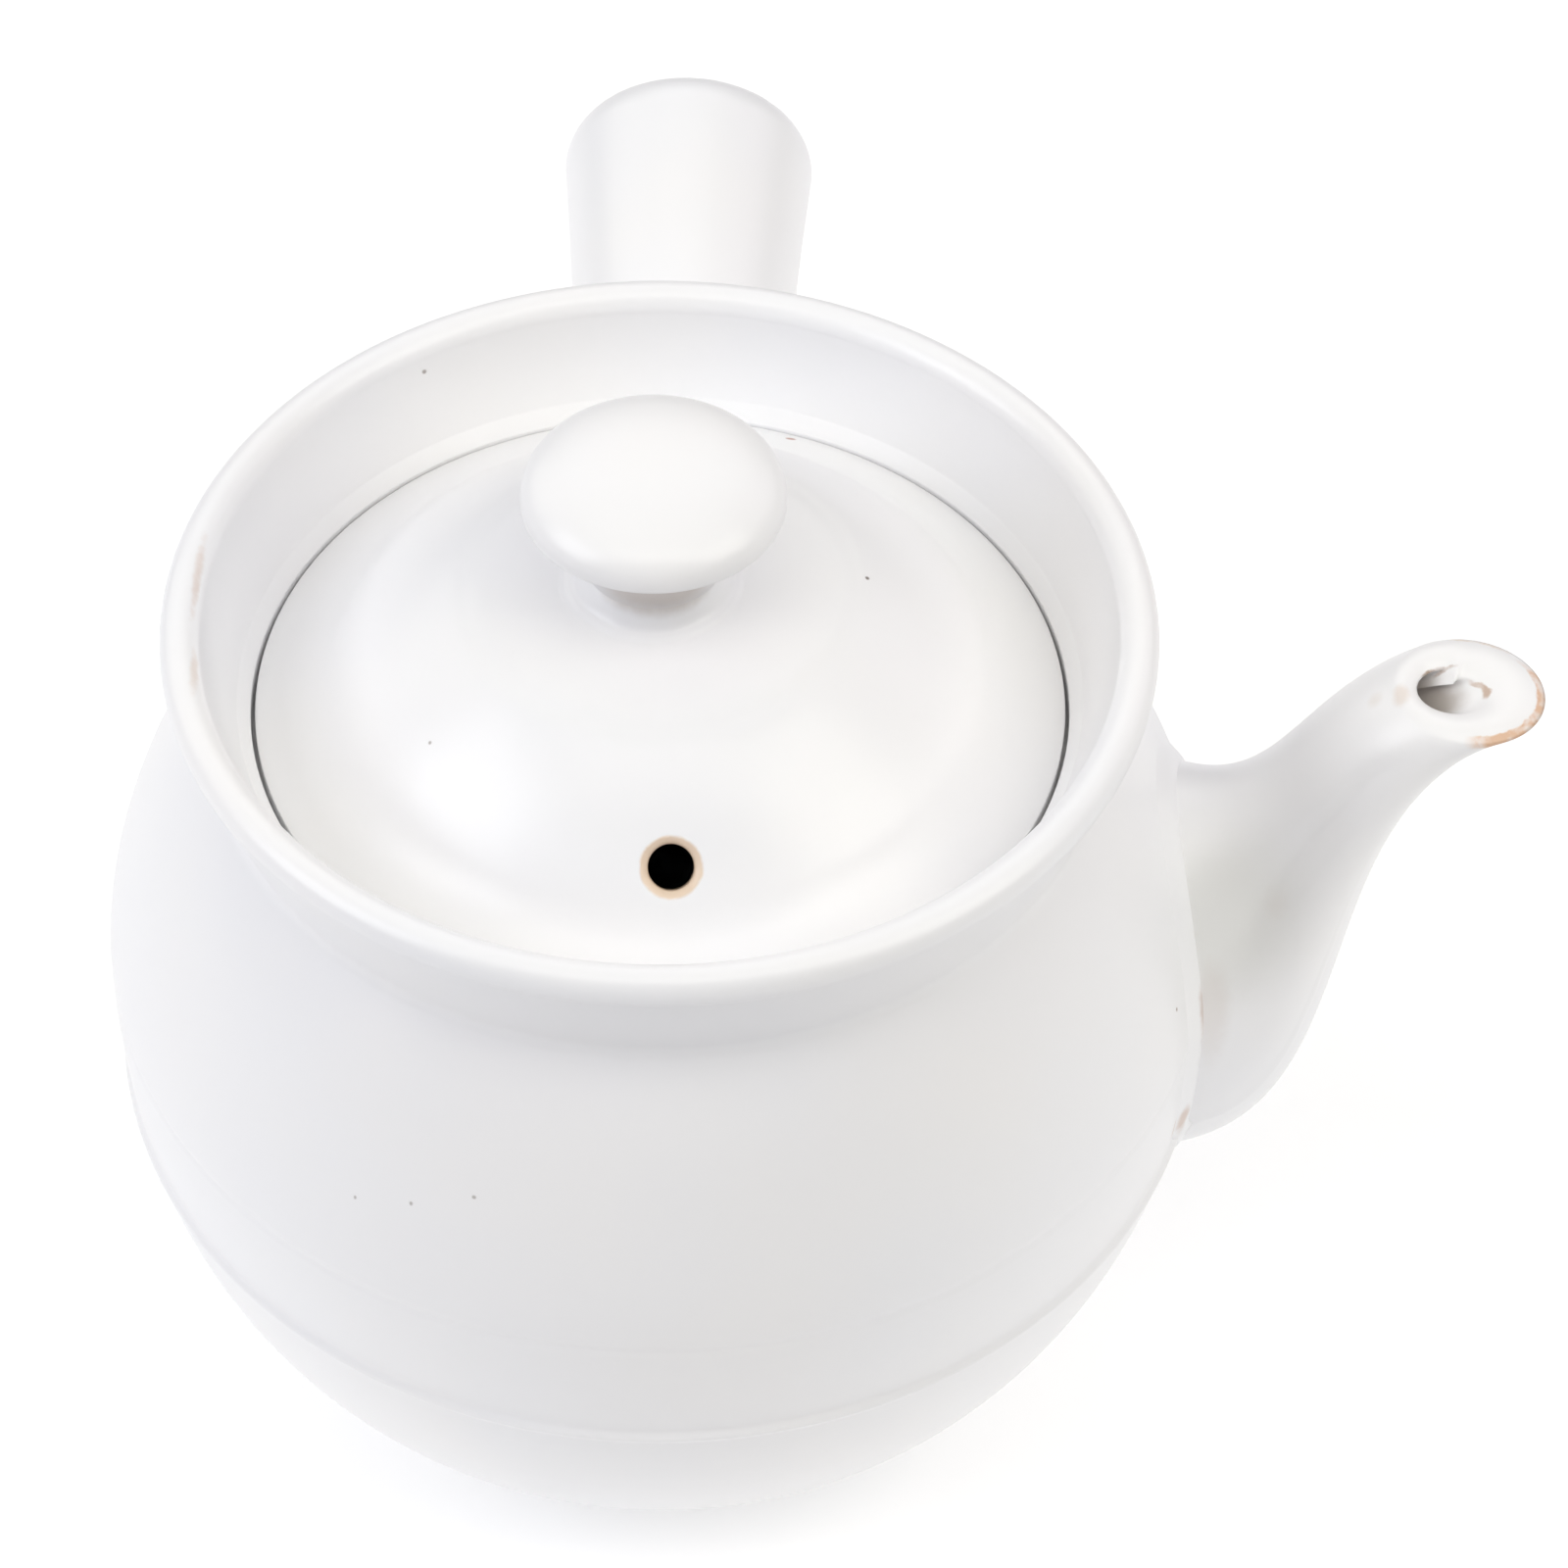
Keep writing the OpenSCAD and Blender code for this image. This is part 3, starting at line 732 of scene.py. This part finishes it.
def handle_ring(along, r, root_r):
    """Ring of the grip or of its bore, fitted to the belly at the root."""
    return eased_ring(ring_on_body(root_r, root_r / handle_dir.x, handle_z),
                      square_ring(0, root_r), square_ring(along, r), min(1, along / handle_straight))


grip_places = spread(0, handle_straight, 36)
grip_places += [handle_straight + handle_round * math.sin(math.radians(a)) for a in spread(0, 90, 12)[1:]]
handle_outer = [handle_ring(along, handle_r(along), handle_root_r) for along in grip_places]
mouth_turns = [math.radians(a) for a in spread(0, 90, 6)]
handle_inner = [handle_ring(handle_l - bore_mouth * (1 - math.cos(a)),
                            handle_bore_r + bore_mouth * (1 - math.sin(a)), handle_bore_r)
                for a in mouth_turns]
handle_inner += [handle_ring(along, handle_bore_r, handle_bore_r)
                 for along in spread(handle_l - 2 * bore_mouth, 0, 24)]
handle = piece_from("side_handle", *looped([set_on_side(ring) for ring in handle_outer + handle_inner]))
handle.data.materials.append(satin_glaze("satin_glaze_on_handle"))
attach(handle, "pot")
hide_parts("side_handle")

handle_seam = seam_bead(
    "handle_seam", set_on_side(handle_outer[0]),
    set_on_side(ring_on_body(handle_root_r + seam_w, handle_root_r / handle_dir.x + seam_w, handle_z)),
    set_on_side(handle_outer[2]))
handle_seam.data.materials.append(satin_glaze("satin_glaze_in_handle_seam"))
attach(handle_seam, "pot")
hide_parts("handle_seam")

# ---- The lid ----
# A thrown dome of the same clay with an edge band that sits loose on the seat, a shallow
# border, a turned line round a flatter crown, and a steam hole punched square to the dome.

lid_edge_h = 4.0
lid_border_w = 10.0
lid_border_rise = 5.2
dome_r = 65.0
lid_t = 5.0
crown_r = 29.5
crown_rise = 2.0
crown_blend = 0.25
crown_groove = 0.3
crown_groove_w = 1.5
dome_foot_round = 17.0
dome_foot_room = 1.1
band_round = 0.35
lid_round_steps = 12
lid_aside = Vector((0, 0.55, 0)) * MM
steam_hole_r = 3.4
steam_ring_r = 4.6
steam_edge_h = 1.1
steam_edge_round = 0.9
steam_hole_away = 46.0
steam_hole_turn = math.radians(-86)

lid_edge_z = seat_z + lid_edge_h
dome_foot_r = lid_r - lid_border_w
dome_foot_z = lid_edge_z + lid_border_rise
dome_z = dome_foot_z - math.sqrt(dome_r ** 2 - dome_foot_r ** 2)
crown_z = dome_z + math.sqrt(dome_r ** 2 - crown_r ** 2) + crown_rise
ceiling_z = crown_z - crown_rise - lid_t
inner_dome_r = dome_r - lid_t
top_turn = math.acos((ceiling_z - dome_z) / inner_dome_r)
foot_turn = math.acos((seat_z - dome_z) / inner_dome_r)
dome_foot_turn = math.asin(dome_foot_r / dome_r)
foot_bend = dome_foot_turn - math.atan2(lid_border_rise, lid_border_w)
dome_end_turn = dome_foot_turn - dome_foot_room * dome_foot_round * math.tan(foot_bend / 2) / dome_r


def lid_top(r):
    """Height of the dome and its flatter crown, which meet in a soft groove."""
    crown = crown_z - crown_rise * (r / crown_r) ** 2
    dome = dome_z + math.sqrt(dome_r ** 2 - r ** 2)
    met = min(crown, dome) - crown_blend * math.log(1 + math.exp(-abs(crown - dome) / crown_blend))
    return met - crown_groove * math.exp(-((r - crown_r) / crown_groove_w) ** 2)


lid = turned("lid", rounded(
    [(0, lid_top(0))]
    + [(r, lid_top(r)) for r in spread(0.5, dome_r * math.sin(dome_end_turn), 120)]
    + [(dome_foot_r, dome_foot_z, dome_foot_round), (lid_r, lid_edge_z, band_round),
       (lid_r, seat_z, edge_round)]
    + [(inner_dome_r * math.sin(a), dome_z + inner_dome_r * math.cos(a))
       for a in spread(foot_turn, top_turn, 30)]
    + [(0, ceiling_z)], lid_round_steps))

# the punch for the steam hole runs from well inside the dome to well outside it
punch_low = inner_dome_r - 4
punch_high = dome_r + 3
hole_axis = (Matrix.Rotation(steam_hole_turn, 4, "Z")
             @ Matrix.Rotation(math.asin(steam_hole_away / dome_r), 4, "Y"))
punch = turned("steam_punch", rounded(
    [(0, punch_low), (steam_hole_r, punch_low), (steam_hole_r, dome_r - steam_edge_h, steam_edge_round),
     (steam_ring_r, dome_r + 0.05), (steam_ring_r, punch_high), (0, punch_high)]), 64)
punch.data.transform(Matrix.Translation((0, 0, dome_z * MM)) @ hole_axis)
cut(lid, punch)
lid.data.transform(Matrix.Translation(lid_aside))
lid.data.materials.clear()
# four specks, and the edge band's tan at the left and right front
lid_marks = [
    ((-33.3, -25.1, 150.0), (0.5, 0.45, 0.5), iron_speck, 0.8),
    ((31.0, 4.3, 157.1), (0.45, 0.45, 0.45), "#6B5A50", 0.85),
    ((-2.9, -50.0, 141.5), (0.4, 0.4, 0.4), iron_speck, 0.8),
    ((18.7, 57.4, 135.0), (1.1, 0.7, 0.9), "#A4654F", 0.8),
    ((-43, -44, 133.8), (12, 12, 0.9), "#CDB7A3", 0.45),
    ((43, -44, 133.8), (12, 12, 0.9), "#CDB7A3", 0.4)]
hole_middle = hole_axis.to_3x3() @ Vector((0, 0, dome_r)) + Vector((0, 0, dome_z)) + lid_aside / MM
hole_dir = hole_axis.to_3x3() @ Vector((0, 0, 1))
lid_holes = [(hole_middle, hole_dir, steam_hole_r - 0.5, steam_ring_r + 0.05)]
lid.data.materials.append(satin_glaze("satin_glaze_on_lid", lid_marks, holes=lid_holes))
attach(lid, "lid")
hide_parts("lid")

# ---- The knob ----
# A solid turned mushroom of the same clay with a soft edge, luted to the crown. Slip is drawn
# out round its neck in a smooth flare that runs into the lid.

knob_r = 19.7
knob_top_z = crown_z + 24
knob_edge_z = crown_z + 16.5
knob_under = 2.1
knob_under_z = crown_z + 12.6
knob_root_z = crown_z - 1
knob_neck_r = 10.6
knob_neck_round = 1.8
knob_shelf_r = knob_r * 0.83
knob_shelf_z = knob_edge_z - knob_under * 0.62
knob_shelf_round = 3
knob_under_power = 0.87
knob_power = 2.5
knob_sides = 160
knob_aside = Vector((-0.95, 0.4, 0)) * MM

# the cap's underside is a shelf that curls up to the edge, and its top a full low dome
shelf_turns = spread(math.radians(28), math.radians(2), 10)
cap_turns = spread(0, math.pi / 2, 48)[:-1]
knob = turned("lid_knob", rounded(
    [(0, knob_root_z), (knob_neck_r, knob_root_z), (knob_neck_r, knob_under_z, knob_neck_round),
     (knob_shelf_r, knob_shelf_z, knob_shelf_round)]
    + [(knob_r * math.cos(a) ** knob_under_power, knob_edge_z - knob_under * math.sin(a) ** knob_under_power)
       for a in shelf_turns]
    + [(knob_r * math.cos(a) ** (2 / knob_power),
        knob_edge_z + (knob_top_z - knob_edge_z) * math.sin(a) ** (2 / knob_power)) for a in cap_turns]
    + [(0, knob_top_z)]), knob_sides)
knob.data.transform(Matrix.Translation(knob_aside))
# the glaze is thinner and warmer under the cap, and the front of the neck has painted shade from the cap,
# warmed as a painted reflection of the cap's brown underside
knob_marks_and_shade = [((0, -17, knob_edge_z - 2), (17, 6, 1.6), "#B59A85", 0.4),
              ((0, -9, crown_z + 7), (14, 6, 5), "#C7B8AA", 0.5)]
knob.data.materials.append(satin_glaze("satin_glaze_on_knob", knob_marks_and_shade))
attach(knob, "lid")
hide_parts("lid_knob")

flare_r = 13.8
flare_h = 4.6
flare_lip = 0.25
flare_lip_away = 1.0
flare_lip_w = 0.6
flare_low = Vector((flare_r, lid_top(flare_r)))
flare_turn = Vector((knob_neck_r + 0.6, lid_top(knob_neck_r)))
flare_high = Vector((knob_neck_r - 0.05, flare_turn.y + flare_h))
flare = [(1 - share) ** 2 * flare_low + 2 * share * (1 - share) * flare_turn + share ** 2 * flare_high
         for share in spread(0, 1, 32)]
flare = [(r, z + flare_lip * math.exp(-((r - flare_r + flare_lip_away) / flare_lip_w) ** 2))
         for r, z in flare]
# both ends of the flare go on under the skins of lid and neck, so that no edge of it shows
under_lid = [(flare_r + 3, lid_top(flare_r + 3) - 0.5), (flare_r + 1.5, lid_top(flare_r + 1.5) - 0.16)]
in_neck = [(knob_neck_r - 0.4, flare_high.y + 1.5), (knob_neck_r - 0.6, flare_low.y - 0.8)]
knob_seam = turned("knob_seam", under_lid + flare + in_neck, knob_sides)
knob_seam.data.transform(Matrix.Translation(knob_aside))
# painted shade on the front of the flare's top, under the cap
flare_painted_shade = [((0, -9, flare_high.y + 0.6), (13, 6, 3.2), "#B3A598", 0.5)]
knob_seam.data.materials.append(satin_glaze("satin_glaze_in_knob_seam", flare_painted_shade))
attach(knob_seam, "lid")
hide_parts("knob_seam")

# ---- The table and the light ----
# A matt white laminate table top, lit by soft boxes on all sides and overhead. The top itself
# glows in a pool of painted light round the pot, as from a sheet lit from below, and the glow fades out long
# before the table ends.

table_half = 3
table_mesh = bpy.data.meshes.new("white_table")
table_mesh.from_pydata([(-table_half, -table_half, 0), (table_half, -table_half, 0),
                        (table_half, table_half, 0), (-table_half, table_half, 0)], [], [(0, 1, 2, 3)])
table = bpy.data.objects.new("white_table", table_mesh)
bpy.context.collection.objects.link(table)

# the laminate has no gloss, and its painted glow, an emission of the table top, keeps the ground behind the
# pot a plain white
glow = 0.31
glow_middle = (0.015, 0.137, 0)
glow_half = (0.17, 0.21, 1)
glow_fade = 0.35
table_finish = bpy.data.materials.new("matt_white_laminate_with_painted_glow")
table_finish.use_nodes = True
table_tree = table_finish.node_tree
table_shader = table_tree.nodes["Principled BSDF"]
table_shader.inputs["Base Color"].default_value = linear("#E8E8E8")
table_shader.inputs["Roughness"].default_value = 0.9
table_shader.inputs["Specular IOR Level"].default_value = 0.0
table_shader.inputs["Emission Color"].default_value = linear("#FFFFFF")
past = add_node(table_tree, "ShaderNodeTexCoord").outputs["Object"]
for operation, value in (("SUBTRACT", glow_middle), ("ABSOLUTE", None),
                         ("SUBTRACT", glow_half), ("MAXIMUM", (0, 0, 0))):
    inputs = {0: past} if value is None else {0: past, 1: value}
    past = add_node(table_tree, "ShaderNodeVectorMath", inputs, operation=operation).outputs[0]
past = add_node(table_tree, "ShaderNodeVectorMath", {0: past}, operation="LENGTH").outputs["Value"]
# painted light: the table top's own glow, strongest round the pot
table_painted_glow = add_node(table_tree, "ShaderNodeMapRange",
                      {"Value": past, "From Min": glow_fade, "From Max": 0.0, "To Max": glow},
                      interpolation_type="SMOOTHSTEP").outputs[0]
table_tree.links.new(table_painted_glow, table_shader.inputs["Emission Strength"])
table_mesh.materials.append(table_finish)

world = bpy.data.worlds.new("studio")
world.use_nodes = True
background = world.node_tree.nodes["Background"]
background.inputs["Color"].default_value = linear("#F4F4FF")
background.inputs["Strength"].default_value = 0.258
bpy.context.scene.world = world
bpy.context.scene.view_settings.view_transform = "Standard"

light_aim = Vector((0, 0, 0.1))


def soft_box(name, turn, rise, away, size, power, colour):
    """A rectangular light that faces the pot.

    It is turned round from the front and raised by degrees, away metres off, of a size in
    metres, and its power is in watts.
    """
    turn, rise = math.radians(turn), math.radians(rise)
    towards = Vector((math.sin(turn) * math.cos(rise), -math.cos(turn) * math.cos(rise), math.sin(rise)))
    light = bpy.data.lights.new(name, "AREA")
    light.shape = "RECTANGLE"
    light.size, light.size_y = size
    light.energy = power
    light.color = linear(colour)[:3]
    lamp = bpy.data.objects.new(name, light)
    lamp.location = towards * away + light_aim
    lamp.rotation_euler = towards.to_track_quat("Z", "Y").to_euler()
    bpy.context.collection.objects.link(lamp)


soft_box("overhead_box", 0, 89, 1.3, (1.4, 1.2), 2.24, "#FBFFE7")
soft_box("left_box", -70, 33, 1.15, (0.7, 0.8), 5.73, "#F9FBFF")
soft_box("right_box", 70, 42, 1.15, (0.7, 0.8), 5.07, "#FFFEF4")
soft_box("front_box", 0, 70, 1.5, (1.2, 0.6), 3.84, "#FFF9F5")
soft_box("back_box", 180, 45, 1.3, (1.2, 0.6), 2.03, "#FFFFFF")
soft_box("left_back_box", -125, 30, 1.2, (0.7, 0.7), 1.61, "#FFFBEE")
soft_box("right_back_box", 125, 30, 1.2, (0.7, 0.7), 1.29, "#F8EDFF")

# ---- The camera ----
# Above and in front of the pot, rolled by about a degree, with a long lens.

camera_aim = Vector((19.2, -8.8, 125.2)) * MM
camera_distance = 826 * MM
camera_azimuth = math.radians(0.3)
camera_elevation = math.radians(47.2)
camera_roll = math.radians(1.18)
back = Vector((math.sin(camera_azimuth) * math.cos(camera_elevation),
               -math.cos(camera_azimuth) * math.cos(camera_elevation), math.sin(camera_elevation)))
lens = bpy.data.cameras.new("camera")
lens.sensor_width = 36
lens.lens = 123.75
camera = bpy.data.objects.new("camera", lens)
camera.location = camera_aim + back * camera_distance
camera.rotation_euler = (back.to_track_quat("Z", "Y")
                         @ Quaternion((0, 0, 1), camera_roll)).to_euler()
bpy.context.collection.objects.link(camera)
bpy.context.scene.camera = camera
